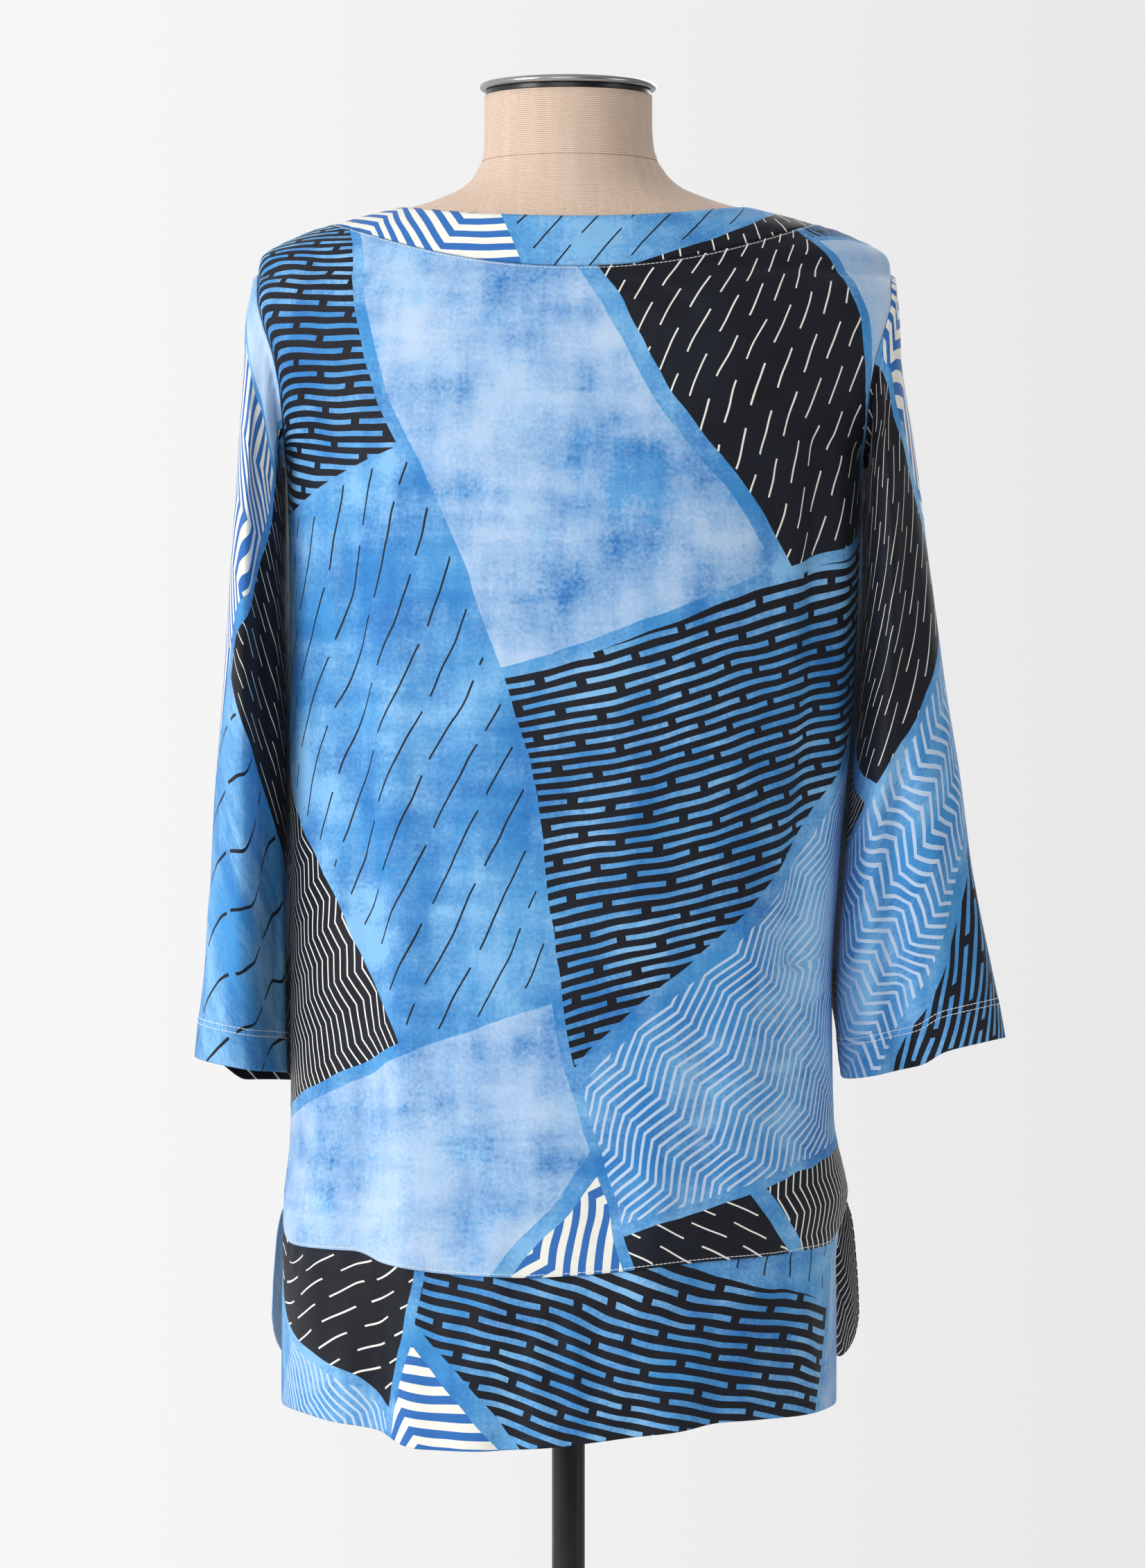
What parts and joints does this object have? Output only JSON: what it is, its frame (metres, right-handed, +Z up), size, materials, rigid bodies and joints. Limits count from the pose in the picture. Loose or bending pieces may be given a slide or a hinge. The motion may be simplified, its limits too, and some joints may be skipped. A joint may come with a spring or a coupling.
{
  "type": "three-quarter sleeve tunic top on a limbless dress form stand",
  "caption": "Loose round-neck tunic top with wide three-quarter sleeves and a slit lower tier, worn by a linen-covered limbless dress form on a pole with a round base.",
  "frame": {"origin": "centre of the round base's underside, where the stand meets the floor, on the pole's axis", "axes": "+Z up along the pole; the back of the garment and of the form faces -Y, its front faces +Y; +X is the wearer's right when seen from behind"},
  "size_m": [0.5305, 0.36, 1.5],
  "materials": {
    "printed_cloth": "soft satin-faced woven viscose with a block print in navy, blue and cream",
    "band_cloth": "the same printed viscose, cut from a mid-blue part of the print, with stitched edges",
    "linen": "plain beige linen cover",
    "chrome": "polished",
    "black_metal": "satin black powder coat"
  },
  "bodies": {
    "root": {"back_panel": "printed_cloth", "front_panel": "printed_cloth", "back_neck_band": "band_cloth", "front_neck_band": "band_cloth", "back_tier": "printed_cloth", "front_tier": "printed_cloth", "left_sleeve": "printed_cloth", "right_sleeve": "printed_cloth", "form_torso": "linen", "neck_cap": "chrome", "pole": "black_metal", "base_plate": "black_metal"}
  },
  "joints": []
}
